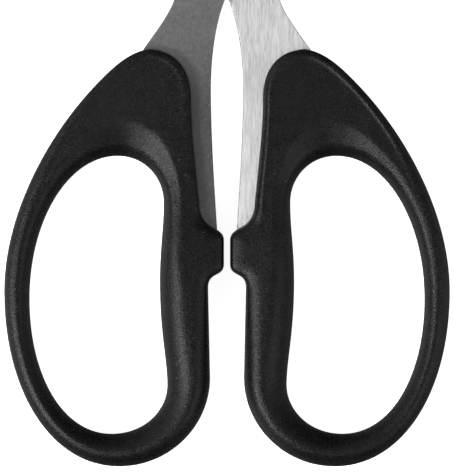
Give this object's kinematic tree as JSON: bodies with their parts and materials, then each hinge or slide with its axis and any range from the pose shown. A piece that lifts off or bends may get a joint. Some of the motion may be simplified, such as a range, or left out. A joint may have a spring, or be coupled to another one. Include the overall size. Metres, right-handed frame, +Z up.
{
  "type": "fabric shears",
  "caption": "Straight-handled fabric shears: two steel blades on a slotted pivot screw, with equal black moulded bow handles and stop blocks.",
  "frame": {"origin": "on the pivot axis, at the flat underside of the pivot nut, which is the plane the shears rest on", "axes": "+Y from the pivot towards the blade tips, +Z up out of the face with the screw's slotted head, +X to the right seen from above"},
  "size_m": [0.0802, 0.2101, 0.01],
  "materials": {
    "blade_steel": "satin outer face, inner face brushed along the blade",
    "handle_plastic": "fine spark-eroded texture, soft sheen",
    "screw_steel": "turned and polished",
    "spring_steel": "dark, smooth",
    "bearing_nylon": "smooth"
  },
  "bodies": {
    "front_half": {"blade_front": "blade_steel", "handle_left": "handle_plastic", "pivot_screw": "screw_steel", "head_washer": "screw_steel", "bearing_washer": "bearing_nylon", "spring_washer": "spring_steel", "pivot_nut": "screw_steel"},
    "rear_half": {"blade_rear": "blade_steel", "handle_right": "handle_plastic"}
  },
  "joints": [
    {"name": "blades_open", "type": "hinge", "parent": "front_half", "child": "rear_half", "pos_m": [0, 0, 0.005], "axis": [0, 0, 1], "range_deg": [-1, 125]}
  ]
}
